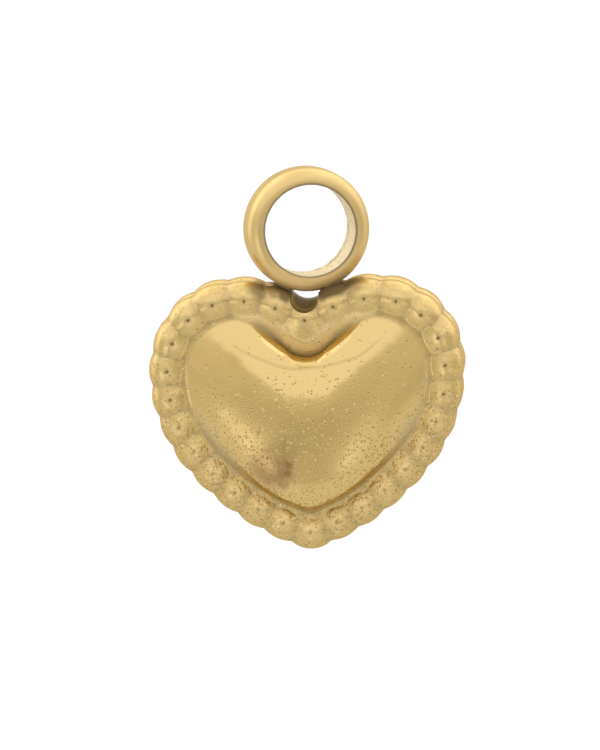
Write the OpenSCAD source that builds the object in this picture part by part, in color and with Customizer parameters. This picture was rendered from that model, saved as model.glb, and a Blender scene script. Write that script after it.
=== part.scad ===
// Puffed heart charm with a bead border and a plain hanging ring, cast as one piece.
// Millimetres. The origin is the middle of the ring's bore, +Z is up and the front faces -Y.

/* [Hanging ring] */
// Radius of the bore
ring_bore_r = 1.75; // [1.2:0.05:2.4]
// Wall of the ring, from bore to outside
ring_wall = 0.62; // [0.58:0.02:1]
// Length of the ring along its bore
ring_len = 1.8; // [1.4:0.1:2.6]
// Rounding of the two outer edges of the ring
ring_round = 0.56; // [0.2:0.02:0.56]
// Turn of the ring about the upright, as it was set on the heart, in degrees
ring_twist = 13.5; // [0:0.5:25]
// Distance that the ring stands to the right of the heart's middle
ring_aside = 0.1; // [0:0.02:0.2]

/* [Heart outline, along the middle of the border] */
// Depth of the lobe centres below the lowest point of the ring
lobe_drop = 2.85; // [2.7:0.02:3.2]
// Distance of each lobe centre from the middle
lobe_x = 2.66; // [2.5:0.02:2.9]
// Radius of a lobe
lobe_r = 2.64; // [2.4:0.02:2.8]
// Radius of the shoulder, which falls from the lobe to the cleft
shoulder_r = 3.72; // [3.2:0.04:4.4]
// Direction in which the lobe passes into the shoulder, in degrees above level
shoulder_from = 85; // [75:1:95]
// Radius of the flank
flank_r = 5.29; // [4.8:0.05:5.8]
// Direction in which the lobe passes into the flank, in degrees above level
flank_from = 2.4; // [0:0.2:10]
// Radius of the foot, which runs from the flank to the tip
foot_r = 9.3; // [8.4:0.1:11]
// Direction in which the flank passes into the foot, in degrees below level
foot_from = 39; // [34:1:44]
// Radius of the tip
tip_r = 0.9; // [0.8:0.05:1.4]
// Room between the centre bead and the rounding of the cleft
cleft_open = 0.13; // [0.08:0.01:0.4]

/* [Bead border] */
// Beads on each side of the heart, from the cleft to the tip
bead_count = 14; // [12:1:16]
// Radius of a bead
bead_r = 0.72; // [0.64:0.02:0.78]
// Depth of the dip between two beads
bead_dip = 0.11; // [0.05:0.01:0.16]
// Distance from bead to bead beside the cleft
shoulder_gap = 1.22; // [1:0.02:1.3]
// Distance between the front row and the back row
row_gap = 1.3; // [1.1:0.05:1.4]
// Depth of the recess between the two rows, below the top of the beads
recess = 0.3; // [0.15:0.05:0.4]

/* [Groove and dome] */
// Distance from the middle of the border in to its lip
lip_in = 0.56; // [0.5:0.01:0.6]
// Further reach of the lip round the centre bead
lip_bulge = 0.28; // [0.1:0.02:0.34]
// Border on each side of the cleft over which that bulge dies out
bulge_reach = 0.45; // [0.4:0.01:0.6]
// Width of the groove's floor along the flanks
groove_w = 0.12; // [0.08:0.01:0.14]
// Height of the groove above the middle plane
groove_h = 1.11; // [1:0.01:1.16]
// Reach of the sloped wall from the lip to the groove, in the cleft
cleft_in = 0.56; // [0.3:0.02:0.64]
// Rise of the lip in the cleft, above the groove's height
cleft_lip = 0.08; // [0:0.01:0.12]
// Drop of the groove in the cleft, below its height elsewhere
cleft_deep = 0.42; // [0.2:0.02:0.5]
// Length of border over which the cleft's own shape dies out
cleft_reach = 3.1; // [2.5:0.1:4]
// Height of the dome above the middle plane
dome_h = 2.2; // [1.8:0.05:2.4]

/* [Saddle] */
// Width of the saddle that carries the ring
saddle_w = 2.5; // [2:0.1:2.8]
// Thickness of the saddle
saddle_t = 1.1; // [0.9:0.1:1.4]
// Depth that the saddle reaches into the ring's wall
saddle_bite = 0.1; // [0.06:0.02:0.2]
// Radius of the drain channel through the saddle, under the ring
drain_r = 0.7; // [0.5:0.05:0.8]
// Depth of the channel below the lowest point of the ring
drain_deep = 0.36; // [0.15:0.01:0.4]
// Radius of the notch that the channel leaves in the two centre beads
notch_r = 0.55; // [0.4:0.05:0.65]
// Depth of that notch below the lowest point of the ring
notch_deep = 0.72; // [0.5:0.02:0.8]

/* [Hidden] */
$fn = 96;

// How finely the heart is divided
bead_steps = 6;
bead_angles = [-38, -8, 24, 57, 90];
face_steps = [0.5, 1];
dome_steps = [0.93, 0.8, 0.62, 0.36];

// Shapes of the curves, which have no size of their own
dip_full = 1.2;
face_fall = 1.4;
dome_slope = 0.55;
dome_edge = 4;
dome_round = 0.8;
dome_middle = 0.5;
soft_beads = 1.5;
soft_fade = 6;

ring_r = ring_bore_r + ring_wall;
cut_over = 1.5;
half_turn = 180;
row_y = row_gap / 2;
shoulder_beads = 3;
beads = round(bead_count);
half_steps = beads * bead_steps;
ring_steps = 2 * half_steps;

// The right half of the border's middle line is a chain of arcs, each tangent to the next
function dir(a) = [cos(a), sin(a)];
lobe_c = [lobe_x, -(ring_r + lobe_drop)];
shoulder_c = lobe_c + (lobe_r - shoulder_r) * dir(shoulder_from);
flank_c = lobe_c + (lobe_r - flank_r) * dir(flank_from);
foot_c = flank_c + (flank_r - foot_r) * dir(-foot_from);
cleft_r = bead_r + cleft_open;
cleft_c = [0, shoulder_c.y + sqrt(pow(shoulder_r + cleft_r, 2) - pow(shoulder_c.x, 2))];
tip_c = [0, foot_c.y - sqrt(pow(foot_r - tip_r, 2) - pow(foot_c.x, 2))];
cleft_to = atan2(cleft_c.y - shoulder_c.y, cleft_c.x - shoulder_c.x);
foot_to = atan2(tip_c.y - foot_c.y, tip_c.x - foot_c.x);

// Each arc is its centre, its radius, its first and last direction, and +1 where the heart is inside it
arcs = [
    [cleft_c, cleft_r, -90, cleft_to - half_turn, -1],
    [shoulder_c, shoulder_r, cleft_to, shoulder_from, 1],
    [lobe_c, lobe_r, shoulder_from, flank_from, 1],
    [flank_c, flank_r, flank_from, -foot_from, 1],
    [foot_c, foot_r, -foot_from, foot_to, 1],
    [tip_c, tip_r, foot_to, -90, 1]
];

function arc_len(arc) = arc[1] * abs(arc[3] - arc[2]) * PI / half_turn;
function chain_len(i = 0) = i < len(arcs) ? arc_len(arcs[i]) + chain_len(i + 1) : 0;
line_len = chain_len();
foot_gap = (line_len - shoulder_beads * shoulder_gap) / (beads - shoulder_beads);

// Point on the middle line at length s from the cleft, with the direction that points out of the heart
function on_arc(arc, s) =
    let (a = arc[2] + (arc[3] - arc[2]) * s / arc_len(arc))
    [arc[0] + arc[1] * dir(a), arc[4] * dir(a)];
function on_line(s, i = 0) =
    i == len(arcs) - 1 || s <= arc_len(arcs[i])
        ? on_arc(arcs[i], s)
        : on_line(s - arc_len(arcs[i]), i + 1);

// Length along the line at bead number b, which may be a fraction
function bead_at(b) =
    b <= shoulder_beads
        ? b * shoulder_gap
        : shoulder_beads * shoulder_gap + (b - shoulder_beads) * foot_gap;

// Radius of the border at bead number b: full at a bead, less in the dip between two
function border_r(b) =
    let (away = 2 * abs(b - round(b)))
    bead_r - bead_dip * (dip_full * pow(away, 2) + (1 - dip_full) * pow(away, 4));

// How much of the cleft's own shape there is at length s, and how far the centre bead bulges there
function cleft_share(s) = max(0, 1 - s / cleft_reach);
function bulge(s) = lip_bulge * max(0, 1 - pow(s / bulge_reach, 2));

// The border's section at bead number b, as distance outwards and height, from the recess to the groove
function section(b) =
    let (
        s = bead_at(b),
        r = border_r(b),
        share = cleft_share(s),
        lip = lip_in - (bead_r - r) + bulge(s),
        lip_h = groove_h + cleft_lip * share,
        groove = lip_in + groove_w + cleft_in * share + bulge(s)
    )
    [
        [r - recess, 0],
        for (a = bead_angles) [r * cos(a), row_y + r * sin(a)],
        for (t = face_steps) [-lip * t, lip_h + (row_y + r - lip_h) * (1 - pow(t, face_fall))],
        [-groove, groove_h - cleft_deep * share]
    ];
groove_level = len(bead_angles) + len(face_steps) + 1;
top_level = groove_level + len(dome_steps);

// Point of the border in column j all round the heart, as x, height above the middle plane, z
function border_point(j, k) =
    let (
        right = j <= half_steps,
        b = (right ? j : ring_steps - j) / bead_steps,
        line = on_line(bead_at(b)),
        place = section(b)[k],
        edge = line[0] + place[0] * line[1]
    )
    [right ? edge.x : -edge.x, place[1], edge.y];

// The groove all round, and the same points each averaged with its neighbours
groove_ring = [for (j = [0:ring_steps - 1]) border_point(j, groove_level)];
soft_reach = round(soft_beads * bead_steps);
soft_weights = [for (d = [-soft_reach:soft_reach]) 1 - pow(d / (soft_reach + 1), 2)];
soft_total = soft_weights * [for (w = soft_weights) 1];
soft_ring = [
    for (j = [0:ring_steps - 1])
        soft_weights * [
            for (d = [-soft_reach:soft_reach]) groove_ring[(j + d + ring_steps) % ring_steps]
        ] / soft_total
];

// The dome's own middle, and the round outline that it takes on towards its top
dome_c = lobe_c.y + (tip_c.y - lobe_c.y) * dome_middle;
dome_r = (flank_r + flank_c.x - lip_in) * dome_round;

// Point of the dome in column j, at share f of the way from its middle to the groove
function dome_point(j, f) =
    let (
        base = soft_ring[j] + (groove_ring[j] - soft_ring[j]) * pow(f, soft_fade),
        out = [base.x, base.z - dome_c],
        round_share = 1 - f * f,
        reach = f * (norm(out) * (1 - round_share) + dome_r * round_share) / norm(out),
        rise = dome_slope * (1 - pow(f, 2)) + (1 - dome_slope) * (1 - pow(f, dome_edge))
    )
    [out.x * reach, base.y + (dome_h - base.y) * rise, dome_c + out.y * reach];

// One closed ring of points at level k, on the front (side -1) or the back (side 1)
function ring_points(k, side) = [
    for (j = [0:ring_steps - 1])
        let (p = k <= groove_level ? border_point(j, k) : dome_point(j, dome_steps[k - groove_level - 1]))
        [p.x, side * p.y, p.z]
];

// The puffed heart with its border: rings of points from the front of the dome to its back
module heart() {
    front = [for (k = [top_level:-1:1]) each ring_points(k, -1)];
    middle = ring_points(0, 1);
    back = [for (k = [1:top_level]) each ring_points(k, 1)];
    caps = [[0, -dome_h, dome_c], [0, dome_h, dome_c]];
    rings = 2 * top_level + 1;
    first_cap = rings * ring_steps;
    last_ring = first_cap - ring_steps;
    walls = [
        for (i = [0:rings - 2], j = [0:ring_steps - 1])
            let (
                a = i * ring_steps + j,
                b = i * ring_steps + (j + 1) % ring_steps
            )
            each [[b, a, b + ring_steps], [b + ring_steps, a, a + ring_steps]]
    ];
    front_cap = [for (j = [0:ring_steps - 1]) [first_cap, j, (j + 1) % ring_steps]];
    back_cap = [for (j = [0:ring_steps - 1]) [first_cap + 1, last_ring + (j + 1) % ring_steps, last_ring + j]];
    polyhedron(concat(front, middle, back, caps), concat(walls, front_cap, back_cap), convexity = 8);
}

// Block that fills the cleft and reaches into the ring's wall, with the drain channel through it
module saddle() {
    bottom = cleft_c.y - cleft_r;
    rotate([90, 0, 0])
        linear_extrude(saddle_t, center = true)
            difference() {
                translate([-saddle_w / 2, bottom])
                    square([saddle_w, -bottom - ring_r / 2]);
                circle(ring_r - saddle_bite);
                translate([0, drain_r - ring_r - drain_deep])
                    circle(drain_r);
            }
}

// Notch from front to back through the two centre beads
module notch() {
    translate([0, 0, notch_r - ring_r - notch_deep])
        rotate([90, 0, 0])
            cylinder(r = notch_r, h = 2 * (row_y + bead_r) * cut_over, center = true);
}

// Short tube with a straight bore and rounded outer edges
module hanging_ring() {
    rotate([0, 0, ring_twist])
        rotate([90, 0, 0])
            difference() {
                rotate_extrude()
                    ring_section();
                cylinder(r = ring_bore_r, h = ring_len * cut_over, center = true);
            }
}

// Half section of the ring before it is bored
module ring_section() {
    edge_x = ring_r - ring_round;
    edge_y = ring_len / 2 - ring_round;
    translate([0, -ring_len / 2])
        square([edge_x, ring_len]);
    translate([0, -edge_y])
        square([ring_r, 2 * edge_y]);
    for (side = [-1, 1])
        translate([edge_x, side * edge_y])
            circle(ring_round);
}

module heart_charm() {
    color("goldenrod")
        union() {
            translate([-ring_aside, 0, 0])
                difference() {
                    heart();
                    notch();
                }
            saddle();
            hanging_ring();
        }
}

heart_charm();
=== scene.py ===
import math

import bmesh
import bpy
from mathutils import Matrix, Vector


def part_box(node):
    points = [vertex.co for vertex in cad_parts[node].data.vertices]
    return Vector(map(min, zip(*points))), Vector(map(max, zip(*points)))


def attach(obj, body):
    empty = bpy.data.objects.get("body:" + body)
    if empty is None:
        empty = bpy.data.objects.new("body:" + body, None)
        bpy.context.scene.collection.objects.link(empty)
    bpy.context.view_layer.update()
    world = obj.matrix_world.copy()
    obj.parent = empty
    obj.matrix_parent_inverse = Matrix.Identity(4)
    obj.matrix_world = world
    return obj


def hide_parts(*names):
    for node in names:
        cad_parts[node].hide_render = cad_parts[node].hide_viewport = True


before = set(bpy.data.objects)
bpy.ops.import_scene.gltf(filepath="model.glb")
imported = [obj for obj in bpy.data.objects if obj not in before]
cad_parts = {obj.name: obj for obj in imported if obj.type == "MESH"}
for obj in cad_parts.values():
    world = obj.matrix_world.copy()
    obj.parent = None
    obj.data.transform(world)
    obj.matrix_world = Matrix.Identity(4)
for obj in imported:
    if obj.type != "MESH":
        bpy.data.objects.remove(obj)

bl_info = {
    "name": "Heart Charm",
    "version": (1, 0, 0),
    "blender": (4, 5, 0),
    "location": "View3D > Sidebar > Heart Charm",
    "description": "Models a puffed heart charm with a bead border and a hanging ring, in cast gold tone",
    "category": "Object",
}

NODE = "heart_charm"
MM = 0.001
CAD_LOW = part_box(NODE)[0]
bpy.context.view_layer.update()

# The photograph's size, and where the frame's origin stands in it
FRAME_W_PX = 600
FRAME_H_PX = 750
ORIGIN_PX = (306.2, 228.4)
PX_PER_MM = 26.25

# How the camera stands, as read from the photograph
CAMERA_AZIMUTH = math.radians(3)
CAMERA_ELEVATION = math.radians(7.5)
CAMERA_ROLL = math.radians(1.667)
CAMERA_DISTANCE = 0.3

# Floor and backdrop, in metres
FLOOR_DROP = 80 * MM
FLOOR_W = 1.6
FLOOR_MIDDLE = 0.38
BACKDROP_H = 1.2
BACKDROP_R = 0.4

# Watts that a square metre of lamp takes at a glow of 1, and each lamp's place, target, size and glow
LAMP_WATTS = 2.4
LAMPS = {
    "top_softbox": ((0, 0.2, 0.3), (0, 0.2, 0), (0.5, 0.6), 0.62),
    "left_softbox": ((-0.4, 0.05, 0.1), (0, 0, -0.006), (0.2, 0.4), 0.6),
    "right_softbox": ((0.4, 0.05, 0.1), (0, 0, -0.006), (0.2, 0.4), 0.6),
}

# The tent's glow at its foot, where 1 is white, and its steps as elevations from and to, and added glow
TENT_GLOW = 0.8
ROOF_GLOW = 0.42
TENT_STEPS = [(-2, 20, 0.17), (17, 22, ROOF_GLOW), (66, 69, -ROOF_GLOW)]
WARM_LIGHT = (1, 0.985, 0.92, 1)
COOL_LIGHT = (1, 1, 1.06, 1)

# Soft panels in the tent, as azimuth, elevation and radius in degrees, and their added glow
PANEL_FULL = 0.55
PANELS = [
    (-34, -19, 14, 1.15), (24, -19, 13, 0.62), (50, -31, 22, 0.25), (-38, 13, 17, 0.1),
    (-48, 1, 14, 0.1), (-75, -25, 35, 0.14), (-125, 15, 50, 0.45), (150, 25, 50, 0.35),
    (32, 2, 12, 0.08), (-2, -3, 12, -0.09), (-13, -11, 6, -0.3),
]

# Cells to a metre of each pattern in the metal, and how far a pit strays from its cell
PITS_PER_M = 9800.0
DRIFTS_PER_M = 420.0
CLOUDS_PER_M = 1300.0
DIRT_PER_M = 3000.0
SWELLS_PER_M = 1100.0
KNOBS_PER_M = 3600.0
PIT_STRAY = 0.09 * MM

# Heights over which pits gather, the border gets worn and its painted dimple dots fade, the groove's dirt
# and painted shade take the flanks' olive, and painted shade darkens the ring's lower part
PIT_HEIGHTS = (-3.8 * MM, -8.6 * MM)
WORN_HEIGHTS = (-5.5 * MM, -8.5 * MM)
FLANK_DIRT_SHADE_HEIGHTS = (-5.2 * MM, -6.8 * MM)
RING_SHADE_HEIGHTS = (-0.9 * MM, -1.8 * MM)

# Share of a round mark's radius within which it is full
BLOT_FULL = 0.3
# Where pits gather, as middle, radius and how much denser they get, with lengths in mm
PIT_DRIFTS = [
    ((-2.6, -1.6, -8.0), 1.5, 0.35),
    ((2.4, -1.6, -8.3), 1.7, 0.2),
]
# Painted shade in the dark corners below the ring, placed as seen from the front, as middle, radius and
# strength, with lengths in mm
SHADE_UNDER_RING = [
    ((-0.08, 0, -2.58), 0.72, 1.4),
    ((-1.85, 0, -2.3), 0.55, 0.65),
    ((1.8, 0, -2.3), 0.5, 0.5),
    ((-1.17, 0, -2.34), 0.45, 0.5),
    ((-0.81, 0, -2.42), 0.45, 0.9),
    ((0.99, 0, -2.3), 0.5, 0.6),
    ((0.6, 0, -2.45), 0.4, 0.8),
]
# The red-brown stain, as middle, radius and strength, with lengths in mm, and how far it is smeared
STAINS = [
    ((-1.45, -1.9, -8.9), 1.2, 0.64),
    ((-1.2, -1.9, -9.15), 0.65, 0.7),
    ((-0.9, -1.9, -8.1), 0.42, 0.7),
    ((-0.88, -1.9, -8.6), 0.45, 0.95),
    ((-0.92, -1.9, -9.1), 0.42, 0.9),
    ((-1.05, -1.9, -9.55), 0.45, 0.6),
]
STAIN_SMEAR = 0.9 * MM

# Painted dark line on the dome below the cleft, a dark reflection painted into the colour: lowest height,
# bend in 1/m, half width, reach and waver
DARK_LINE_LOW = -5.2 * MM
DARK_LINE_BEND = 135.0
DARK_LINE_HALF = 0.11 * MM
DARK_LINE_REACH = 3.2 * MM
DARK_LINE_WAVER = 0.5 * MM

# How finely the heart is divided
BEAD_STEPS = 20
BEAD_ANGLES = [-45 + 9 * i for i in range(16)]
FACE_STEPS = 9
WALL_STEPS = 6
DOME_RINGS = 28
SHOULDER_BEADS = 3

# Shapes of the curves, which have no size of their own
DIP_FULL = 1.2
FACE_FALL = 1.4
DOME_SLOPE = 0.55
DOME_EDGE = 4
DOME_MIDDLE = 0.5
DOME_ROUND = 0.8
DOME_SOFT_BEADS = 1.5
DOME_SCALLOPS = 6
RING_CROWDING = 1.2

# Steps round the ring, its rounded edges and the three cutters
RING_STEPS = 256
RING_ROUND_STEPS = 14
BORE_EDGE_STEPS = 5
NOTCH_STEPS = 64
SEAT_STEPS = 160
DRAIN_STEPS = 96

# Small rounded edges of the bore and the saddle, and the angle above which an edge stays sharp
BORE_EDGE = 0.04 * MM
SADDLE_EDGE = 0.06 * MM
SHARP_ANGLE = math.radians(35)

# Masks that the heart's points carry for the material, painted highlights and painted shade among them
MASKS = ("border", "dirt_and_shade", "wall", "lip", "dimple", "bead_highlight", "bead_gap_shade")
# Rings of the dome that the groove's dirt and painted shade reach over, beside the lobes and lower down, and
# the beads between the two
LOBE_DIRT_SHADE_RINGS = 2.5
DIRT_SHADE_RINGS = 9
DIRT_SHADE_BEADS = (5, 8)
# Stretch of border over which the cleft's wall turns from clean to covered in dirt and painted shade
ARM_FROM = 0.7 * MM
ARM_TO = 1.8 * MM
# Radius of the painted highlight on the top of a bead
BEAD_HIGHLIGHT_R = 0.46 * MM


def length(name, description, default):
    """A size that is given in millimetres and kept in metres."""
    return bpy.props.FloatProperty(name=name, description=description, default=default * MM,
                                   unit="LENGTH", precision=5)


def angle(name, description, default):
    """An angle that is given in degrees and kept in radians."""
    return bpy.props.FloatProperty(name=name, description=description, default=math.radians(default),
                                   subtype="ANGLE")


def colour(name, description, default):
    """A linear colour with no alpha."""
    return bpy.props.FloatVectorProperty(name=name, description=description, default=default,
                                         subtype="COLOR", size=3, min=0, max=1)


class CharmSizes(bpy.types.PropertyGroup):
    """Sizes of the casting, the same ones as the solid's."""
    ring_bore: length("Ring bore", "Radius of the ring's bore", 1.75)
    ring_wall: length("Ring wall", "Wall of the ring", 0.62)
    ring_len: length("Ring length", "Length of the ring along its bore", 1.8)
    ring_round: length("Ring rounding", "Rounding of the ring's outer edges", 0.56)
    ring_twist: angle("Ring twist", "Turn of the ring about the upright", 13.5)
    ring_aside: length("Ring aside", "Distance of the ring to the right of the heart's middle", 0.1)
    lobe_drop: length("Lobe drop", "Depth of the lobe centres below the ring", 2.85)
    lobe_x: length("Lobe place", "Distance of each lobe centre from the middle", 2.66)
    lobe_r: length("Lobe radius", "Radius of a lobe", 2.64)
    shoulder_r: length("Shoulder radius", "Radius between lobe and cleft", 3.72)
    shoulder_from: angle("Shoulder start", "Direction in which the shoulder starts", 85)
    flank_r: length("Flank radius", "Radius of the flank", 5.29)
    flank_from: angle("Flank start", "Direction in which the flank starts", 2.4)
    foot_r: length("Foot radius", "Radius from the flank to the tip", 9.3)
    foot_from: angle("Foot start", "Direction in which the foot starts", -39)
    tip_r: length("Tip radius", "Radius of the tip", 0.9)
    cleft_open: length("Cleft opening", "Room between the centre bead and the cleft", 0.13)
    side_beads: bpy.props.IntProperty(name="Side beads", description="Beads from cleft to tip", default=14)
    bead_r: length("Bead radius", "Radius of a bead", 0.72)
    bead_dip: length("Bead dip", "Depth of the dip between two beads", 0.11)
    shoulder_pitch: length("Shoulder pitch", "Spacing of the beads beside the cleft", 1.22)
    dimple_r: length("Dimple radius", "Radius of the dimple on a bead", 0.13)
    dimple_deep: length("Dimple depth", "Depth of the dimple on a bead", 0.045)
    row_gap: length("Row gap", "Distance between the two rows", 1.3)
    recess: length("Recess", "Depth of the recess between the rows", 0.3)
    lip_in: length("Lip inset", "Distance from the border's middle to its inner lip", 0.56)
    lip_bulge: length("Lip bulge", "Further reach of the lip round the centre bead", 0.28)
    bulge_reach: length("Bulge reach", "Border on each side over which that bulge dies out", 0.45)
    groove_w: length("Groove width", "Width of the groove's floor along the flanks", 0.12)
    groove_h: length("Groove height", "Height of the groove above the middle plane", 1.11)
    cleft_in: length("Cleft wall", "Reach of the sloped wall inside the cleft", 0.56)
    cleft_lip: length("Cleft lip", "Rise of the lip above the groove's height in the cleft", 0.08)
    cleft_deep: length("Cleft depth", "Drop of the groove below its own height in the cleft", 0.42)
    cleft_reach: length("Cleft reach", "Border over which the sloped wall dies out", 3.1)
    dome_h: length("Dome height", "Height of the dome above the middle plane", 2.2)
    saddle_w: length("Saddle width", "Width of the saddle", 2.5)
    saddle_t: length("Saddle thickness", "Thickness of the saddle", 1.1)
    saddle_bite: length("Saddle bite", "Depth of the saddle in the ring's wall", 0.1)
    drain_r: length("Drain radius", "Radius of the channel under the ring", 0.7)
    drain_deep: length("Drain depth", "Depth of the channel below the ring", 0.36)
    notch_r: length("Notch radius", "Radius of the notch in the centre beads", 0.55)
    notch_deep: length("Notch depth", "Depth of the notch below the ring", 0.72)


class CharmColours(bpy.types.PropertyGroup):
    """Colours of the gold tone, with painted highlights, shade and reflections among them."""
    gold: colour("Gold", "Clean gold-tone metal", (0.60, 0.43, 0.165))
    pale_gold: colour("Pale gold", "Rubbed high places", (0.66, 0.49, 0.21))
    # Painted reflection: pale tint inside the bore for the white backdrop
    bore_painted_sheen: colour("Bore gold", "Pale painted reflection inside the ring", (0.78, 0.68, 0.46))
    # Painted shade: deeper gold on the lower part of the ring
    ring_shade_gold: colour("Ring shade gold", "Painted shade: deeper gold on the lower part of the ring", (0.60, 0.40, 0.15))
    # Also the colour of the painted dark line on the dome
    deep_gold: colour("Deep gold", "Metal in the pits", (0.25, 0.15, 0.05))
    # Dirt in the bore, and painted shade along its rims
    bore_dirt_and_rim_shade: colour("Bore dirt and shade", "Dirt in the bore and painted shade at its rims", (0.20, 0.15, 0.09))
    # Painted reflection: a pale tint on the cleft's wall for the dome's light
    wall: colour("Wall", "Painted pale reflection on the sloped wall in the cleft", (0.74, 0.55, 0.24))
    lip: colour("Lip", "Pale rubbed grains along the lip", (0.84, 0.72, 0.44))
    # Painted highlight on the top of each bead
    bead_highlight: colour("Bead highlight", "Painted highlight on the tops of the beads", (0.78, 0.60, 0.28))
    speck: colour("Speck", "Bright specks of bare metal", (0.86, 0.70, 0.42))
    # Dirt and painted shade in the groove, also the painted shade between the beads
    dirt_and_shade: colour("Dirt and shade", "Dull brown grime in the groove", (0.40, 0.31, 0.15))
    # Dirt and painted shade in the groove along the lower flanks
    flank_dirt_and_shade: colour("Flank dirt and shade", "Olive dirt and painted shade in the groove along the flanks", (0.40, 0.315, 0.16))
    stain: colour("Stain", "Red-brown stain on the dome", (0.27, 0.15, 0.065))
    # Painted shade: the dark of the corners under the ring, also used for the painted dark reflection in the
    # dimples
    painted_shade: colour("Painted shade", "Painted shade in the corners under the ring", (0.125, 0.078, 0.034))


def direction(a):
    """Unit vector at angle a in the heart's plane."""
    return Vector((math.cos(a), math.sin(a)))


def within(value, low=0.0, high=1.0):
    """A value kept between a low and a high one."""
    return min(high, max(low, value))


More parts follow.
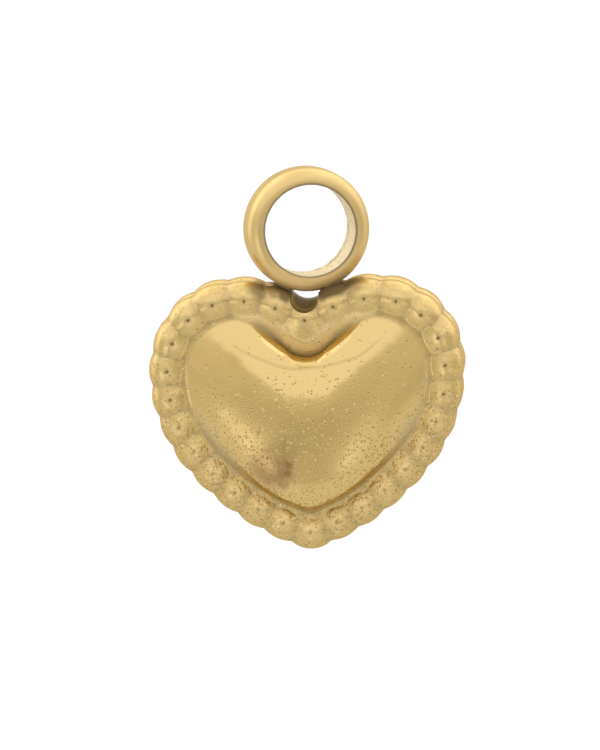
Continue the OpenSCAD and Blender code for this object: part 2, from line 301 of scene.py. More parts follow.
class Outline:
    """Middle line of the border's right half, from cleft to tip: arcs, each tangent to the next."""

    def __init__(self, p):
        self.p = p
        self.sections = {}
        lobe = Vector((p.lobe_x, -(p.ring_bore + p.ring_wall + p.lobe_drop)))
        shoulder = lobe + (p.lobe_r - p.shoulder_r) * direction(p.shoulder_from)
        flank = lobe + (p.lobe_r - p.flank_r) * direction(p.flank_from)
        foot = flank + (p.flank_r - p.foot_r) * direction(p.foot_from)
        cleft_r = p.bead_r + p.cleft_open
        cleft = Vector((0, shoulder.y + math.sqrt((p.shoulder_r + cleft_r) ** 2 - shoulder.x ** 2)))
        tip = Vector((0, foot.y - math.sqrt((p.foot_r - p.tip_r) ** 2 - foot.x ** 2)))
        cleft_to = math.atan2(cleft.y - shoulder.y, cleft.x - shoulder.x)
        foot_to = math.atan2(tip.y - foot.y, tip.x - foot.x)
        down = -math.pi / 2
        self.arcs = [
            (cleft, cleft_r, down, cleft_to - math.pi, -1),
            (shoulder, p.shoulder_r, cleft_to, p.shoulder_from, 1),
            (lobe, p.lobe_r, p.shoulder_from, p.flank_from, 1),
            (flank, p.flank_r, p.flank_from, p.foot_from, 1),
            (foot, p.foot_r, p.foot_from, foot_to, 1),
            (tip, p.tip_r, foot_to, down, 1),
        ]
        self.line_len = sum(self.arc_len(arc) for arc in self.arcs)
        top = SHOULDER_BEADS * p.shoulder_pitch
        self.foot_pitch = (self.line_len - top) / (p.side_beads - SHOULDER_BEADS)
        self.dome_c = lobe.y + (tip.y - lobe.y) * DOME_MIDDLE
        self.dome_r = (p.flank_r + flank.x - p.lip_in) * DOME_ROUND

    @staticmethod
    def arc_len(arc):
        """Length of an arc."""
        return arc[1] * abs(arc[3] - arc[2])

    def at(self, s):
        """Point at length s from the cleft, with the direction out of the heart."""
        for arc in self.arcs:
            if s <= self.arc_len(arc) or arc is self.arcs[-1]:
                a = arc[2] + (arc[3] - arc[2]) * s / self.arc_len(arc)
                return arc[0] + arc[1] * direction(a), arc[4] * direction(a)
            s -= self.arc_len(arc)

    def bead_at(self, bead):
        """Length along the line at bead number bead, which may be a fraction."""
        p = self.p
        if bead <= SHOULDER_BEADS:
            return bead * p.shoulder_pitch
        return SHOULDER_BEADS * p.shoulder_pitch + (bead - SHOULDER_BEADS) * self.foot_pitch

    def border_r(self, bead):
        """Radius of the border: full at a bead, less in the dip between two."""
        away = 2 * abs(bead - round(bead))
        return self.p.bead_r - self.p.bead_dip * (DIP_FULL * away ** 2 + (1 - DIP_FULL) * away ** 4)

    def profile(self, bead):
        """The border's section at a bead number, as (offset outwards, height), from recess to groove."""
        p = self.p
        s = self.bead_at(bead)
        r = self.border_r(bead)
        share = max(0, 1 - s / p.cleft_reach)
        bulge = p.lip_bulge * max(0, 1 - (s / p.bulge_reach) ** 2)
        points = [(r - p.recess, 0)]
        points += [(r * math.cos(math.radians(a)), p.row_gap / 2 + r * math.sin(math.radians(a)))
                   for a in BEAD_ANGLES]
        top = p.row_gap / 2 + r
        lip = p.lip_in - (p.bead_r - r) + bulge
        lip_h = p.groove_h + p.cleft_lip * share
        groove = p.lip_in + p.groove_w + p.cleft_in * share + bulge
        groove_h = p.groove_h - p.cleft_deep * share
        for step in range(1, FACE_STEPS + 1):
            t = step / FACE_STEPS
            points.append((-lip * t, lip_h + (top - lip_h) * (1 - t ** FACE_FALL)))
        for step in range(1, WALL_STEPS + 1):
            t = step / WALL_STEPS
            points.append((-lip - (groove - lip) * t, lip_h + (groove_h - lip_h) * t))
        return points

    def section(self, bead):
        """The profile at a bead number, worked out once."""
        if bead not in self.sections:
            self.sections[bead] = self.profile(bead)
        return self.sections[bead]

    def hold(self, bead):
        """How much dirt and painted shade the groove holds: all in the cleft, half on the lobes, more lower
        down.
        """
        in_cleft = within(2 * (1 - self.bead_at(bead) / self.p.cleft_reach))
        return max(in_cleft, within(0.2 + 0.16 * (bead - DIRT_SHADE_BEADS[0]), 0.5, 0.9))

    def spread(self, bead, ring):
        """How much dirt and painted shade the dome has at a ring inside the groove, in a band that gets
        wider lower down.
        """
        first, last = DIRT_SHADE_BEADS
        low_down = within((bead - first) / (last - first))
        reach = LOBE_DIRT_SHADE_RINGS + (DIRT_SHADE_RINGS - LOBE_DIRT_SHADE_RINGS) * low_down
        return self.hold(bead) * max(0.0, 1 - ring / reach)

    def masks(self, bead, level):
        """The masks of a point of the border. In the cleft's arms the dirt and painted shade cover all of
        the wall.
        """
        s = self.bead_at(bead)
        in_cleft = max(0.0, 1 - s / self.p.cleft_reach)
        arm = within((s - ARM_FROM) / (ARM_TO - ARM_FROM)) if in_cleft else 0.0
        steps_up = len(BEAD_ANGLES) + FACE_STEPS + WALL_STEPS - level
        return {
            "border": 1.0,
            # Dirt and painted shade in the groove, reaching up the wall
            "dirt_and_shade": self.hold(bead) * max(0.0, 1 - steps_up / WALL_STEPS * (1.6 - arm)),
            # The cleft's wall, where a pale reflection is painted
            "wall": min(1.0, 3 * in_cleft) if steps_up < WALL_STEPS else 0.0,
            "lip": min(1.0, 0.35 + 2 * in_cleft) * max(0.0, 1 - abs(steps_up - WALL_STEPS) / 2),
            # Each bead's dimple, where a dark reflection is painted
            "dimple": self.near_top(bead, level, self.p.dimple_r),
            # Painted highlight on the top of each bead
            "bead_highlight": self.near_top(bead, level, BEAD_HIGHLIGHT_R),
            # Painted shade in the dips between the beads
            "bead_gap_shade": max(0.0, 4 * abs(bead - round(bead)) - 1),
        }

    def near_top(self, bead, level, reach):
        """How near a point of the border is to the top of a bead, from 0 at the reach to 1."""
        offset, height = self.section(bead)[level]
        if height < self.p.row_gap / 2:
            return 0.0
        along = self.bead_at(bead) - self.bead_at(round(bead))
        return max(0.0, 1 - math.hypot(along, offset) / reach)

    def border_point(self, bead, level):
        """Point of the border at a bead number and a level, where 0 is the recess in the middle plane."""
        offset, height = self.section(bead)[level]
        height -= self.p.dimple_deep * self.near_top(bead, level, self.p.dimple_r)
        place, out = self.at(self.bead_at(bead))
        edge = place + offset * out
        return Vector((edge.x, -height, edge.y))

    def softened(self, edges):
        """The groove's points, each averaged with its neighbours over a bead or so."""
        reach = round(DOME_SOFT_BEADS * BEAD_STEPS)
        weights = [(d, 1 - (d / (reach + 1)) ** 2) for d in range(-reach, reach + 1)]
        total = sum(weight for d, weight in weights)
        count = len(edges)
        return [sum((edges[(j + d) % count] * weight for d, weight in weights), Vector((0, 0, 0))) / total
                for j in range(count)]

    def dome_point(self, edge, soft, share):
        """Point of the dome at a share of the way from its middle to the groove."""
        p = self.p
        base = soft.lerp(edge, share ** DOME_SCALLOPS)
        out = Vector((base.x, base.z - self.dome_c))
        round_share = 1 - share * share
        reach = share * (out.length * (1 - round_share) + self.dome_r * round_share) / out.length
        rise = DOME_SLOPE * (1 - share ** 2) + (1 - DOME_SLOPE) * (1 - share ** DOME_EDGE)
        height = -base.y + (p.dome_h + base.y) * rise
        return Vector((out.x * reach, -height, self.dome_c + out.y * reach))


def deselect():
    """Leaves nothing selected, in object mode."""
    if bpy.context.object and bpy.context.object.mode != "OBJECT":
        bpy.ops.object.mode_set(mode="OBJECT")
    bpy.ops.object.select_all(action="DESELECT")


def named_piece(name):
    """The object that was just added, under its own name."""
    piece = bpy.context.object
    piece.name = name
    piece.data.name = name
    return piece


def lying_cylinder(name, steps, radius, depth, place):
    """Adds a cylinder that lies along Y."""
    deselect()
    bpy.ops.mesh.primitive_cylinder_add(vertices=steps, radius=radius, depth=depth, location=place,
                                        rotation=(math.pi / 2, 0, 0))
    piece = named_piece(name)
    bpy.ops.object.transform_apply()
    return piece


def make_active(piece):
    """Selects one piece and nothing else."""
    deselect()
    piece.select_set(True)
    bpy.context.view_layer.objects.active = piece


def apply_modifier(piece, kind, **settings):
    """Adds a modifier with its settings and applies it."""
    make_active(piece)
    bpy.ops.object.modifier_add(type=kind)
    modifier = piece.modifiers[-1]
    for key, value in settings.items():
        setattr(modifier, key, value)
    bpy.ops.object.modifier_apply(modifier=modifier.name)


def clean_shell(piece, distance=1e-7):
    """Merges doubles and turns the faces outwards."""
    make_active(piece)
    bpy.ops.object.mode_set(mode="EDIT")
    bpy.ops.mesh.select_all(action="SELECT")
    bpy.ops.mesh.remove_doubles(threshold=distance)
    bpy.ops.mesh.normals_make_consistent(inside=False)
    bpy.ops.object.mode_set(mode="OBJECT")


def combine(piece, other, operation):
    """Unites the piece with another or cuts the other out of it, and drops the other."""
    apply_modifier(piece, "BOOLEAN", operation=operation, object=other, solver="EXACT")
    bpy.data.objects.remove(other)


def add_masks(piece):
    """Gives a piece all masks, each at nothing."""
    for name in MASKS:
        piece.data.attributes.new(name, "FLOAT", "POINT")


def cell(place):
    """A point's place as whole hundredths of a micron."""
    return tuple(round(c / (1e-5 * MM)) for c in place)


def read_masks(piece):
    """The masks of a piece's points, by place."""
    layers = [piece.data.attributes[name].data for name in MASKS]
    return {cell(vert.co): [layer[vert.index].value for layer in layers] for vert in piece.data.vertices}


def write_masks(piece, kept):
    """Puts the masks back after a union, which mixes them up, with nothing on what was added."""
    nothing = [0.0] * len(MASKS)
    layers = [piece.data.attributes[name].data for name in MASKS]
    for vert in piece.data.vertices:
        for layer, value in zip(layers, kept.get(cell(vert.co), nothing)):
            layer[vert.index].value = value


def extrude_ring(piece, place, masks):
    """Extrudes a shell's open edge once, puts each new point where place(column) says, and marks it."""
    bpy.ops.mesh.extrude_edges_move()
    mesh = bmesh.from_edit_mesh(piece.data)
    column = mesh.verts.layers.int["column"]
    layers = {name: mesh.verts.layers.float[name] for name in MASKS}
    for vert in mesh.verts:
        if vert.select:
            vert.co = place(vert[column])
            values = masks(vert[column])
            for name, layer in layers.items():
                vert[layer] = values.get(name, 0.0)
    bmesh.update_edit_mesh(piece.data, loop_triangles=False)


class CHARM_OT_heart(bpy.types.Operator):
    """Model the puffed heart with its bead border, both faces"""
    bl_idname = "charm.heart"
    bl_label = "Heart"

    def execute(self, context):
        outline = Outline(context.scene.charm_sizes)
        half = outline.p.side_beads * BEAD_STEPS
        deselect()
        bpy.ops.mesh.primitive_circle_add(vertices=2 * half, radius=outline.p.flank_r)
        piece = named_piece("heart_shell")
        add_masks(piece)
        bpy.ops.object.mode_set(mode="EDIT")
        mesh = bmesh.from_edit_mesh(piece.data)
        column = mesh.verts.layers.int.new("column")
        border = mesh.verts.layers.float["border"]
        for vert in mesh.verts:
            vert[column] = vert.index
            vert[border] = 1.0

        def on_side(j, point):
            """Point on the heart's right for the first half of the columns, and mirrored for the rest."""
            right = j <= half
            place = point((j if right else 2 * half - j) / BEAD_STEPS)
            return Vector((place.x if right else -place.x, place.y, place.z))

        for vert in mesh.verts:
            vert.co = on_side(vert[column], lambda bead: outline.border_point(bead, 0))
        bmesh.update_edit_mesh(piece.data)
        bpy.ops.mesh.select_mode(type="EDGE")
        bpy.ops.mesh.select_all(action="SELECT")
        groove = len(BEAD_ANGLES) + FACE_STEPS + WALL_STEPS

        def bead_of(j):
            """Bead number of a column."""
            return min(j, 2 * half - j) / BEAD_STEPS

        for level in range(1, groove + 1):
            extrude_ring(piece, lambda j: on_side(j, lambda bead: outline.border_point(bead, level)),
                         lambda j: outline.masks(bead_of(j), level))
        edges = [on_side(j, lambda bead: outline.border_point(bead, groove)) for j in range(2 * half)]
        soft = outline.softened(edges)
        # The dome's rings next to the groove carry its dirt and painted shade
        for ring in range(1, DOME_RINGS):
            share = 1 - (ring / DOME_RINGS) ** RING_CROWDING
            extrude_ring(piece, lambda j: outline.dome_point(edges[j], soft[j], share),
                         lambda j: {"dirt_and_shade": outline.spread(bead_of(j), ring)})
        bpy.ops.mesh.extrude_edges_move()
        bpy.ops.mesh.merge(type="CENTER")
        mesh = bmesh.from_edit_mesh(piece.data)
        for vert in mesh.verts:
            if vert.select:
                vert.co = Vector((0, -outline.p.dome_h, outline.dome_c))
        bmesh.update_edit_mesh(piece.data)
        bpy.ops.object.mode_set(mode="OBJECT")
        piece.data.attributes.remove(piece.data.attributes["column"])
        apply_modifier(piece, "MIRROR", use_axis=(False, True, False), merge_threshold=1e-7)
        piece.data.transform(Matrix.Translation((-outline.p.ring_aside, 0, 0)))
        clean_shell(piece)
        return {"FINISHED"}


class CHARM_OT_notch(bpy.types.Operator):
    """Cut the notch through the two centre beads"""
    bl_idname = "charm.notch"
    bl_label = "Notch"

    def execute(self, context):
        p = context.scene.charm_sizes
        ring_r = p.ring_bore + p.ring_wall
        cutter = lying_cylinder("notch_cutter", NOTCH_STEPS, p.notch_r, 4 * p.row_gap,
                                (-p.ring_aside, 0, p.notch_r - ring_r - p.notch_deep))
        heart = bpy.data.objects["heart_shell"]
        masks = read_masks(heart)
        combine(heart, cutter, "DIFFERENCE")
        write_masks(heart, masks)
        return {"FINISHED"}


class CHARM_OT_ring(bpy.types.Operator):
    """Model the hanging ring by spinning its section about the bore"""
    bl_idname = "charm.ring"
    bl_label = "Hanging ring"

    def execute(self, context):
        p = context.scene.charm_sizes
        deselect()
        bpy.ops.mesh.primitive_plane_add(size=1)
        piece = named_piece("hanging_ring")
        bpy.ops.object.mode_set(mode="EDIT")
        mesh = bmesh.from_edit_mesh(piece.data)
        ring_r = p.ring_bore + p.ring_wall
        for vert in mesh.verts:
            outer = vert.co.x > 0
            vert.co = Vector((ring_r if outer else p.ring_bore, math.copysign(p.ring_len / 2, vert.co.y), 0))
        bpy.ops.mesh.select_mode(type="VERT")
        middle = (ring_r + p.ring_bore) / 2
        for outer, size, steps in (
                (True, p.ring_round, RING_ROUND_STEPS), (False, BORE_EDGE, BORE_EDGE_STEPS)):
            bpy.ops.mesh.select_all(action="DESELECT")
            mesh = bmesh.from_edit_mesh(piece.data)
            for vert in mesh.verts:
                vert.select = (vert.co.x > middle) == outer
            mesh.select_flush_mode()
            bmesh.update_edit_mesh(piece.data)
            bpy.ops.mesh.bevel(offset=size, segments=steps, affect="VERTICES")
        bpy.ops.mesh.select_all(action="SELECT")
        bpy.ops.mesh.delete(type="ONLY_FACE")
        bpy.ops.mesh.select_all(action="SELECT")
        bpy.ops.mesh.spin(steps=RING_STEPS, angle=2 * math.pi, center=(0, 0, 0), axis=(0, 1, 0))
        bpy.ops.object.mode_set(mode="OBJECT")
        piece.data.transform(Matrix.Rotation(p.ring_twist, 4, "Z"))
        clean_shell(piece, 1e-6)
        return {"FINISHED"}


class CHARM_OT_saddle(bpy.types.Operator):
    """Model the saddle that carries the ring, with the drain channel"""
    bl_idname = "charm.saddle"
    bl_label = "Saddle"

    def execute(self, context):
        p = context.scene.charm_sizes
        ring_r = p.ring_bore + p.ring_wall
        cleft, cleft_r = Outline(p).arcs[0][:2]
        low = cleft.y - cleft_r
        high = -ring_r / 2
        deselect()
        bpy.ops.mesh.primitive_cube_add(size=1, location=(0, 0, (low + high) / 2),
                                        scale=(p.saddle_w, p.saddle_t, high - low))
        piece = named_piece("saddle")
        bpy.ops.object.transform_apply()
        for name, steps, radius, height in (
                ("ring_cutter", SEAT_STEPS, ring_r - p.saddle_bite, 0),
                ("drain_cutter", DRAIN_STEPS, p.drain_r, p.drain_r - ring_r - p.drain_deep)):
            cutter = lying_cylinder(name, steps, radius, 4 * p.saddle_t, (0, 0, height))
            combine(piece, cutter, "DIFFERENCE")
        apply_modifier(piece, "BEVEL", width=SADDLE_EDGE, segments=3, limit_method="ANGLE")
        clean_shell(piece)
        return {"FINISHED"}


class CHARM_OT_casting(bpy.types.Operator):
    """Unite heart, saddle and ring into the one casting"""
    bl_idname = "charm.casting"
    bl_label = "Casting"

    def execute(self, context):
        heart = bpy.data.objects["heart_shell"]
        masks = read_masks(heart)
        combine(heart, bpy.data.objects["saddle"], "UNION")
        combine(heart, bpy.data.objects["hanging_ring"], "UNION")
        write_masks(heart, masks)
        heart.name = "heart_casting"
        heart.data.name = "heart_casting"
        clean_shell(heart)
        bpy.ops.object.shade_smooth_by_angle(angle=SHARP_ANGLE)
        apply_modifier(heart, "WEIGHTED_NORMAL", keep_sharp=True)
        heart.data.materials.clear()
        heart.data.materials.append(gold_material(context.scene.charm_sizes, context.scene.charm_colours))
        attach(heart, "root")
        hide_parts(NODE)
        return {"FINISHED"}


class NodeSheet:
    """Adds nodes to one tree and links them."""

    def __init__(self, tree):
        self.tree = tree

    def node(self, kind, inputs=None, **settings):
        """Adds a node with its settings and feeds its inputs."""
        made = self.tree.nodes.new(kind)
        for key, value in settings.items():
            setattr(made, key, value)
        for key, value in (inputs or {}).items():
            self.feed(made.inputs[key], value)
        return made

    def feed(self, socket, value):
        """Links another socket to this one, or sets it to a plain value."""
        if isinstance(value, bpy.types.NodeSocket):
            self.tree.links.new(value, socket)
        else:
            socket.default_value = value

    def finish(self, kind, surface):
        """Adds the output node and links the surface to it."""
        out = self.node(kind)
        self.feed(out.inputs["Surface"], surface)

    def math(self, operation, *values):
        """Result of a math node."""
        made = self.node("ShaderNodeMath", operation=operation)
        for socket, value in zip(made.inputs, values):
            self.feed(socket, value)
        return made.outputs[0]

    def plus(self, first, second):
        """The sum of two values."""
        return self.math("ADD", first, second)

    def less(self, first, second):
        """The first value less the second."""
        return self.math("SUBTRACT", first, second)

    def times(self, first, *others):
        """The product of all values."""
        for other in others:
            first = self.math("MULTIPLY", first, other)
        return first

    def most(self, first, second):
        """The greater of two values."""
        return self.math("MAXIMUM", first, second)

    def rest(self, share):
        """What a share leaves of 1."""
        return self.less(1.0, share)

    def size_of(self, value):
        """A value without its sign."""
        return self.math("ABSOLUTE", value)

    def vector(self, operation, inputs, output="Vector"):
        """Result of a vector math node."""
        return self.node("ShaderNodeVectorMath", inputs, operation=operation).outputs[output]

    def parts(self, vector):
        """The three parts of a vector."""
        return self.node("ShaderNodeSeparateXYZ", {"Vector": vector}).outputs

    def mix(self, factor, first, second):
        """The first colour with a share of the second."""
        made = self.node("ShaderNodeMix", data_type="RGBA")
        for name, value in (("Factor", factor), ("A", first), ("B", second)):
            socket = [s for s in made.inputs if s.name == name and s.enabled][0]
            self.feed(socket, value)
        return [s for s in made.outputs if s.enabled][0]

    def coats(self, tint, layers):
        """A tint with the charm's colours over it, one after another, given as (share, colour)."""
        for share, paint in layers:
            tint = self.mix(share, tint, paint[:] + (1,))
        return tint

    def fade(self, value, low, high, first=0.0, last=1.0):
        """Smooth change from first, where the value is at low, to last, where it is at high."""
        return self.node("ShaderNodeMapRange", {
            "Value": value, "From Min": low, "From Max": high, "To Min": first, "To Max": last},
            interpolation_type="SMOOTHSTEP").outputs[0]

    def noise(self, place, per_metre, detail):
        """Outputs of a noise texture: its value and its colour."""
        inputs = {"Vector": place, "Scale": per_metre, "Detail": detail}
        return self.node("ShaderNodeTexNoise", inputs).outputs

    def mask(self, name):
        """One of the masks that the heart's points carry."""
        return self.node("ShaderNodeAttribute", attribute_name=name).outputs["Fac"]

    def astray(self, place, noise_colour, reach):
        """A place moved aside by a noise's colour."""
        aside = self.vector("SUBTRACT", {0: noise_colour, 1: (0.5, 0.5, 0.5)})
        aside = self.vector("SCALE", {0: aside, "Scale": reach})
        return self.vector("ADD", {0: place, 1: aside})

    def blot(self, place, middle, radius, strength):
        """Round mark, given in mm, that is full round its middle and fades out at its radius."""
        apart = self.vector("DISTANCE", {0: place, 1: [c * MM for c in middle]}, "Value")
        radius *= MM
        return self.times(self.fade(apart, radius, BLOT_FULL * radius), strength)

    def strongest(self, place, marks, least):
        """The strongest of some round marks, given as (middle, radius, strength), and of what is there."""
        for middle, radius, strength in marks:
            least = self.most(self.blot(place, middle, radius, strength), least)
        return least

    def bump(self, height, strength, distance, normal=None):
        """The normal after a bump on top of another."""
        inputs = {"Height": height, "Strength": strength, "Distance": distance}
        if normal:
            inputs["Normal"] = normal
        return self.node("ShaderNodeBump", inputs).outputs[0]


def blank_tree(owner):
    """The node tree of a material or a world, with nothing in it."""
    owner.use_nodes = True
    owner.node_tree.nodes.clear()
    return owner.node_tree


def new_group(name, inputs, outputs):
    """An empty shader group with named inputs and outputs, given as (name, kind, default)."""
    group = bpy.data.node_groups.new(name, "ShaderNodeTree")
    for label, kind, default in inputs:
        socket = group.interface.new_socket(name=label, in_out="INPUT", socket_type=kind)
        if default is not None:
            socket.default_value = default
    for label, kind in outputs:
        group.interface.new_socket(name=label, in_out="OUTPUT", socket_type=kind)
    return group


def cast_pits_group():
    """Pits and bright specks of a casting, one to a cell: more of them the higher the density."""
    group = new_group("Cast pits", [
        ("Vector", "NodeSocketVector", None),
        ("Pits per metre", "NodeSocketFloat", PITS_PER_M),
        ("Density", "NodeSocketFloat", 0.5),
    ], [("Mask", "NodeSocketFloat"), ("Specks", "NodeSocketFloat"), ("Grain", "NodeSocketFloat")])
    sheet = NodeSheet(group)
    given = sheet.node("NodeGroupInput").outputs
    grain = sheet.node("ShaderNodeTexNoise", {
        "Vector": given["Vector"], "Scale": given["Pits per metre"],
        "Detail": 2.0, "Roughness": 0.6}).outputs
    moved = sheet.astray(given["Vector"], grain[1], PIT_STRAY)
    cells = sheet.node("ShaderNodeTexVoronoi", {"Vector": moved, "Scale": given["Pits per metre"]}).outputs
    draw = sheet.node("ShaderNodeSeparateColor", {"Color": cells["Color"]}).outputs
    size = sheet.node("ShaderNodeMapRange", {"Value": draw[1], "To Min": 0.3, "To Max": 0.6}).outputs[0]
    dot = sheet.fade(cells["Distance"], size, sheet.times(size, 0.35))
    pitted = sheet.math("LESS_THAN", draw[0], given["Density"])
    bright = sheet.math("GREATER_THAN", draw[0], sheet.rest(sheet.times(given["Density"], 0.2)))
    out = sheet.node("NodeGroupOutput")
    sheet.feed(out.inputs["Mask"], sheet.times(dot, pitted))
    sheet.feed(out.inputs["Specks"], sheet.times(dot, bright))
    sheet.feed(out.inputs["Grain"], grain[0])
    return group


class GoldSheet(NodeSheet):
    """The nodes of the cast gold tone: masks first, then the tint, the bumps and the dullness from them."""

    def __init__(self, tree, sizes, colours):
        super().__init__(tree)
        self.colours = colours
        self.place = self.node("ShaderNodeTexCoord").outputs["Object"]
        self.axes = self.parts(self.place)
        self.drifts = self.noise(self.place, DRIFTS_PER_M, 3.0)[0]
        self.border = self.mask("border")
        self.wall = self.mask("wall")
        self.find_ring(sizes)
        self.add_pits()
        self.add_dirt_and_shade()

    def find_ring(self, sizes):
        """Tells the ring from the heart by its outer surface, rounded at its ends, and finds its bore."""
        inputs = {"Vector": self.place, "Rotation": (0, 0, -sizes.ring_twist)}
        axes = self.parts(self.node("ShaderNodeMapping", inputs).outputs[0])
        self.along_bore = axes[1]
        self.from_bore = self.math("SQRT", self.plus(self.math("POWER", axes[0], 2.0),
                                                     self.math("POWER", axes[2], 2.0)))
        half = sizes.ring_len / 2
        depth = self.size_of(self.along_bore)
        past = self.most(self.less(depth, half - sizes.ring_round), 0.0)
        inside = self.less(sizes.ring_round ** 2, self.times(past, past))
        outside = self.plus(self.math("SQRT", self.most(inside, 0.0)),
                            sizes.ring_bore + sizes.ring_wall - sizes.ring_round)
        self.on_heart = self.fade(self.less(self.from_bore, outside), 0.004 * MM, 0.03 * MM)
        self.off_heart = self.rest(self.on_heart)
        bore = sizes.ring_bore
        self.in_bore = self.fade(self.from_bore, bore + 0.07 * MM, bore + 0.02 * MM)
        self.rim = self.times(self.fade(depth, half - 0.08 * MM, half - 0.02 * MM),
                              self.fade(self.from_bore, bore + 0.11 * MM, bore + 0.05 * MM))
        # Lower part of the ring outside the bore, where its shade is painted as deeper gold
        self.ring_underside_shade = self.times(self.fade(self.axes[2], *RING_SHADE_HEIGHTS), self.off_heart,
                                   self.rest(self.in_bore))

    def add_pits(self):
        """Pits: few at the top, many on the lower half and in drifts, and some in the bore."""
        density = self.fade(self.axes[2], *PIT_HEIGHTS, 0.07, 0.62)
        for middle, radius, more in PIT_DRIFTS:
            density = self.plus(density, self.blot(self.place, middle, radius, more))
        uneven = self.plus(self.times(self.drifts, 1.6), 0.2)
        self.density = self.most(self.times(density, uneven, self.on_heart), self.times(self.in_bore, 0.5))
        inputs = {"Vector": self.place, "Pits per metre": PITS_PER_M, "Density": self.density}
        self.pits = self.node("ShaderNodeGroup", inputs, node_tree=cast_pits_group()).outputs

    def add_dirt_and_shade(self):
        """Dirt and painted shade in the groove, painted shade in the corners under the ring, the stain on
        the dome, and the painted dark reflection in each bead's dimple.
        """
        # Dirt and painted shade in the groove, made uneven
        uneven = self.times(self.less(self.drifts, 0.5), 0.9)
        self.dirt_and_shade = self.fade(self.plus(self.mask("dirt_and_shade"), uneven), 0.25, 1.0)
        # Painted shade in the corners under the ring, placed by where they lie seen from the front
        flat = self.node("ShaderNodeCombineXYZ", {"X": self.axes[0], "Z": self.axes[2]}).outputs[0]
        ragged = self.plus(self.from_bore, self.times(self.drifts, 0.4 * MM))
        painted_shade = self.strongest(flat, SHADE_UNDER_RING, self.fade(ragged, 2.95 * MM, 2.65 * MM))
        low_enough = self.fade(self.size_of(self.axes[1]), 1.36 * MM, 1.2 * MM)
        self.painted_shade = self.times(self.math("MINIMUM", painted_shade, 1.0), low_enough, self.on_heart)
        clouds = self.noise(self.place, CLOUDS_PER_M, 3.0)[1]
        self.stain = self.strongest(self.astray(self.place, clouds, STAIN_SMEAR), STAINS, 0.0)
        # Painted dark reflection in each bead's dimple, fainter lower down
        self.dimple = self.times(self.fade(self.mask("dimple"), 0.1, 0.8),
                                 self.fade(self.axes[2], *WORN_HEIGHTS, 0.85, 0.45))

    def bore_dirt_and_rim_shade(self):
        """Patchy dirt towards the back of the bore, and a line of painted shade round each rim."""
        patchy = self.fade(self.noise(self.place, DIRT_PER_M, 3.0)[0], 0.42, 0.62)
        behind = self.fade(self.along_bore, 0.1 * MM, 0.85 * MM)
        return self.most(self.times(patchy, behind, self.in_bore, 0.6), self.times(self.rim, 0.8))

    def painted_dark_line(self):
        """A painted dark reflection on the dome, a bent line that wavers."""
        across = self.axes[0]
        line = self.plus(self.times(across, across, DARK_LINE_BEND), DARK_LINE_LOW)
        line = self.plus(line, self.times(self.less(self.drifts, 0.5), DARK_LINE_WAVER))
        near = self.fade(self.size_of(self.less(self.axes[2], line)), DARK_LINE_HALF, 0.0)
        ends = self.fade(self.size_of(across), DARK_LINE_REACH, 0.7 * DARK_LINE_REACH)
        return self.times(near, ends, self.rest(self.border))

    def tint(self):
        """The metal's colour, what lies on it, and the painted highlights, shade and reflections, from the
        lowest layer to the top one.
        """
        paint = self.colours
        grain = self.pits["Grain"]
        # The groove's colour, for its dirt and painted shade, olive lower down
        dirt = self.coats(paint.dirt_and_shade[:] + (1,), [(self.fade(self.axes[2], *FLANK_DIRT_SHADE_HEIGHTS), paint.flank_dirt_and_shade)])
        tint = self.coats(paint.gold[:] + (1,), [
            (self.times(self.drifts, 0.5), paint.pale_gold),
            # Painted pale reflection inside the bore, and a trace of it over the ring
            (self.most(self.in_bore, self.times(self.off_heart, 0.04)), paint.bore_painted_sheen),
            # Patchy dirt in the bore, and painted shade along its rims
            (self.bore_dirt_and_rim_shade(), paint.bore_dirt_and_rim_shade),
            # Painted shade on the lower part of the ring
            (self.times(self.ring_underside_shade, 0.7), paint.ring_shade_gold),
            (self.times(self.fade(grain, 0.4, 0.6), self.border, 0.18), paint.deep_gold),
            # Painted highlight on the tops of the beads
            (self.times(self.fade(self.mask("bead_highlight"), 0.05, 0.8), 0.5), paint.bead_highlight),
            # Painted shade between the beads, in the groove's colour
            (self.times(self.fade(self.mask("bead_gap_shade"), 0.1, 0.9), 0.4), paint.dirt_and_shade),
            # Painted pale reflection on the cleft's wall
            (self.times(self.wall, 0.9), paint.wall),
            # Painted dark reflection line on the dome
            (self.times(self.painted_dark_line(), 0.25), paint.deep_gold),
            (self.times(self.pits["Mask"], 0.6), paint.deep_gold),
            (self.times(self.pits["Specks"], self.fade(self.border, 0.0, 1.0, 0.2, 0.7)), paint.speck),
        ])
        lip = self.times(self.fade(self.mask("lip"), 0.1, 0.7), self.fade(grain, 0.45, 0.58))
        # Dirt and painted shade in the groove over the metal
        return self.coats(self.mix(self.times(self.dirt_and_shade, 0.85), tint, dirt), [
            (self.times(lip, 0.45), paint.lip),
            (self.stain, paint.stain),
            # Painted dark reflection in each bead's dimple
            (self.dimple, paint.painted_shade),
            # Painted shade in the corners under the ring
            (self.times(self.painted_shade, 0.93), paint.painted_shade),
        ])

    def bumps(self):
        """Swells all over the heart, rough knobs on the border and more so lower down, and the pits."""
        swells = self.noise(self.place, SWELLS_PER_M, 1.0)[0]
        normal = self.bump(swells, self.times(self.on_heart, 0.5), 0.03 * MM)
        knobs = self.noise(self.place, KNOBS_PER_M, 4.0)[0]
        knob_share = self.times(self.border, self.fade(self.axes[2], *WORN_HEIGHTS, 0.25, 0.9))
        normal = self.bump(knobs, knob_share, 0.08 * MM, normal)
        pits = self.less(self.pits["Specks"], self.pits["Mask"])
        return self.bump(pits, 0.6, 0.015 * MM, normal)

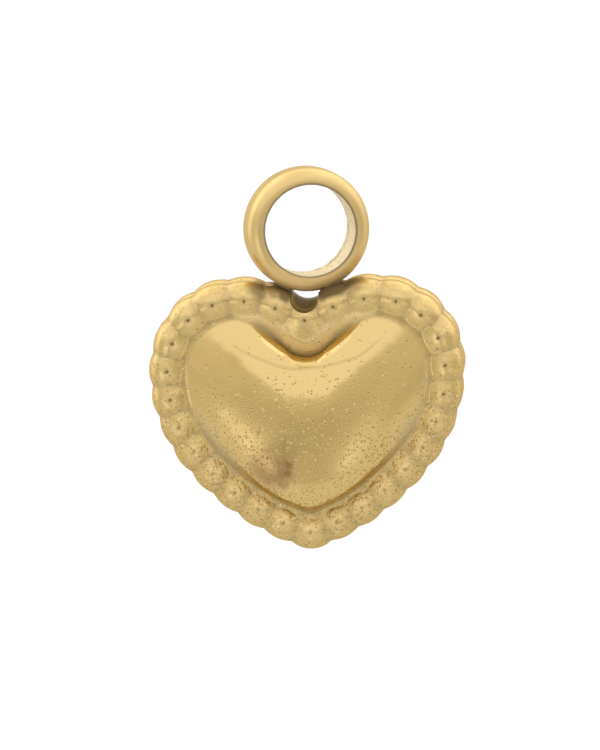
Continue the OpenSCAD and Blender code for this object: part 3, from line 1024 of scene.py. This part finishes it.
    def roughness(self):
        """Smoothest on the clean dome, rougher on the ring, the border, the pits, the groove's dirt and
        painted shade, and the painted shade under the ring.
        """
        rough = self.plus(self.fade(self.on_heart, 0.0, 1.0, 0.34, 0.09), self.times(self.density, 0.19))
        rough = self.plus(rough, self.times(self.in_bore, 0.15))
        rough = self.plus(rough, self.times(self.plus(self.border, self.dirt_and_shade), 0.2))
        return self.plus(rough, self.times(self.painted_shade, 0.35))

    def metal(self):
        """Full on clean metal, and less under the groove's dirt and painted shade, the painted reflection on
        the cleft's wall and the painted shade under and on the ring.
        """
        dull = self.most(self.times(self.dirt_and_shade, 0.85), self.times(self.wall, 0.7))
        dull = self.most(dull, self.times(self.painted_shade, 0.35))
        return self.rest(self.most(dull, self.times(self.ring_underside_shade, 0.8)))


def gold_material(sizes, colours):
    """Cast gold tone: bright and pitted on the dome, duller on the border and ring, with painted shade in
    the corners and painted highlights and reflections.
    """
    material = bpy.data.materials.new("gold_tone")
    sheet = GoldSheet(blank_tree(material), sizes, colours)
    shader = sheet.node("ShaderNodeBsdfPrincipled", {
        "Base Color": sheet.tint(), "Roughness": sheet.roughness(), "Metallic": sheet.metal(),
        "Normal": sheet.bumps(), "Specular Tint": (0.85, 0.75, 0.55, 1)})
    sheet.finish("ShaderNodeOutputMaterial", shader.outputs[0])
    return material


def white_material():
    """White floor and backdrop, seen as white by the camera and in reflections, with a faint shadow."""
    material = bpy.data.materials.new("white_sweep")
    sheet = NodeSheet(blank_tree(material))
    rays = sheet.node("ShaderNodeLightPath").outputs
    seen = sheet.most(rays["Is Camera Ray"], sheet.most(rays["Is Glossy Ray"], rays["Is Transmission Ray"]))
    paper = sheet.node("ShaderNodeBsdfDiffuse", {"Color": (0.85, 0.85, 0.85, 1)})
    glow = sheet.node("ShaderNodeEmission", {"Color": (1, 1, 1, 1), "Strength": 1.02})
    mix = sheet.node("ShaderNodeMixShader", {0: sheet.times(seen, 0.9)})
    sheet.feed(mix.inputs[1], paper.outputs[0])
    sheet.feed(mix.inputs[2], glow.outputs[0])
    sheet.finish("ShaderNodeOutputMaterial", mix.outputs[0])
    return material


def heading(azimuth, elevation):
    """Unit vector at an azimuth to the right of the front and an elevation, both in radians."""
    return Vector((math.sin(azimuth) * math.cos(elevation), -math.cos(azimuth) * math.cos(elevation),
                   math.sin(elevation)))


def studio_world():
    """White tent round the object, brighter overhead, with soft panels and two dim patches."""
    world = bpy.data.worlds.new("studio")
    sheet = NodeSheet(blank_tree(world))
    way = sheet.node("ShaderNodeTexCoord").outputs["Generated"]
    height = sheet.parts(way)[2]
    glow = TENT_GLOW
    for low, high, more in TENT_STEPS:
        step = sheet.fade(height, math.sin(math.radians(low)), math.sin(math.radians(high)), 0.0, more)
        glow = sheet.plus(step, glow)
    for azimuth, elevation, radius, more in PANELS:
        toward = heading(math.radians(azimuth), math.radians(elevation))
        near = sheet.vector("DOT_PRODUCT", {0: way, 1: toward}, "Value")
        edge, full = math.radians(radius), math.radians(PANEL_FULL * radius)
        glow = sheet.plus(sheet.fade(near, math.cos(edge), math.cos(full), 0.0, more), glow)
    rays = sheet.node("ShaderNodeLightPath").outputs
    seen = sheet.most(rays["Is Camera Ray"], rays["Is Transmission Ray"])
    strength = sheet.plus(sheet.times(glow, sheet.rest(seen)), seen)
    light = sheet.mix(sheet.fade(glow, 0.9, 1.35), WARM_LIGHT, COOL_LIGHT)
    light = sheet.mix(seen, light, (1, 1, 1, 1))
    background = sheet.node("ShaderNodeBackground", {"Color": light, "Strength": strength})
    sheet.finish("ShaderNodeOutputWorld", background.outputs[0])
    return world


def add_lamp(name, place, target, size, glow):
    """A rectangular soft lamp at a place, turned to a target, as bright as glow says."""
    deselect()
    bpy.ops.object.light_add(type="AREA", location=place)
    lamp = bpy.context.object
    lamp.name = name
    lamp.data.shape = "RECTANGLE"
    lamp.data.size = size[0]
    lamp.data.size_y = size[1]
    lamp.data.energy = LAMP_WATTS * glow * size[0] * size[1]
    lamp.rotation_euler = (Vector(target) - Vector(place)).to_track_quat("-Z", "Y").to_euler()


class CHARM_OT_stage(bpy.types.Operator):
    """Set up the floor, the soft lamps and the camera"""
    bl_idname = "charm.stage"
    bl_label = "Stage"

    def execute(self, context):
        self.sweep()
        context.scene.world = studio_world()
        for name, settings in LAMPS.items():
            add_lamp(name, *settings)
        self.camera(context.scene)
        return {"FINISHED"}

    def sweep(self):
        """White floor that curves up into a backdrop."""
        deselect()
        floor_z = CAD_LOW.z - FLOOR_DROP
        bpy.ops.mesh.primitive_plane_add(size=1, location=(0, FLOOR_MIDDLE, floor_z), scale=(FLOOR_W, 1, 1))
        floor = named_piece("floor")
        bpy.ops.object.transform_apply()
        bpy.ops.object.mode_set(mode="EDIT")
        bpy.ops.mesh.select_mode(type="EDGE")
        bpy.ops.mesh.select_all(action="DESELECT")
        mesh = bmesh.from_edit_mesh(floor.data)
        for edge in mesh.edges:
            edge.select = all(vert.co.y > FLOOR_MIDDLE for vert in edge.verts)
        bmesh.update_edit_mesh(floor.data)
        bpy.ops.mesh.extrude_edges_move(TRANSFORM_OT_translate={"value": (0, 0, BACKDROP_H)})
        bpy.ops.object.mode_set(mode="OBJECT")
        apply_modifier(floor, "BEVEL", width=BACKDROP_R, segments=16)
        bpy.ops.object.shade_smooth()
        floor.data.materials.append(white_material())

    def camera(self, scene):
        """The photograph's camera, aimed so that the frame's origin falls on its own pixel."""
        look = -heading(CAMERA_AZIMUTH, CAMERA_ELEVATION)
        right = Vector((math.cos(CAMERA_AZIMUTH), math.sin(CAMERA_AZIMUTH), 0))
        up = right.cross(look)
        side = right * math.cos(CAMERA_ROLL) - up * math.sin(CAMERA_ROLL)
        top = right * math.sin(CAMERA_ROLL) + up * math.cos(CAMERA_ROLL)
        mm_right = (FRAME_W_PX / 2 - ORIGIN_PX[0]) / PX_PER_MM
        mm_up = (ORIGIN_PX[1] - FRAME_H_PX / 2) / PX_PER_MM
        aim = (side * mm_right + top * mm_up) * MM
        data = bpy.data.cameras.new("camera")
        camera = bpy.data.objects.new("camera", data)
        scene.collection.objects.link(camera)
        data.sensor_width = 36
        data.lens = data.sensor_width * CAMERA_DISTANCE / (FRAME_H_PX / PX_PER_MM * MM)
        data.clip_start = 0.01
        turn = Matrix((side, top, -look)).transposed().to_4x4()
        camera.matrix_world = Matrix.Translation(aim - look * CAMERA_DISTANCE) @ turn
        scene.camera = camera


OPERATORS = (CHARM_OT_heart, CHARM_OT_notch, CHARM_OT_ring, CHARM_OT_saddle, CHARM_OT_casting,
             CHARM_OT_stage)


class CHARM_PT_panel(bpy.types.Panel):
    """Lists the steps that make the charm"""
    bl_label = "Heart Charm"
    bl_idname = "CHARM_PT_panel"
    bl_space_type = "VIEW_3D"
    bl_region_type = "UI"
    bl_category = "Heart Charm"

    def draw(self, context):
        for step in OPERATORS:
            self.layout.operator(step.bl_idname)


CLASSES = (CharmSizes, CharmColours) + OPERATORS + (CHARM_PT_panel,)


def register():
    """Adds the classes and the two groups of values to Blender."""
    for made in CLASSES:
        bpy.utils.register_class(made)
    bpy.types.Scene.charm_sizes = bpy.props.PointerProperty(type=CharmSizes)
    bpy.types.Scene.charm_colours = bpy.props.PointerProperty(type=CharmColours)


def unregister():
    """Takes them out again."""
    del bpy.types.Scene.charm_colours
    del bpy.types.Scene.charm_sizes
    for made in reversed(CLASSES):
        bpy.utils.unregister_class(made)


def main():
    """Makes the charm and its stage, step by step."""
    register()
    bpy.context.scene.view_settings.view_transform = "Standard"
    bpy.ops.charm.heart()
    bpy.ops.charm.notch()
    bpy.ops.charm.ring()
    bpy.ops.charm.saddle()
    bpy.ops.charm.casting()
    bpy.ops.charm.stage()


if __name__ == "__main__":
    main()
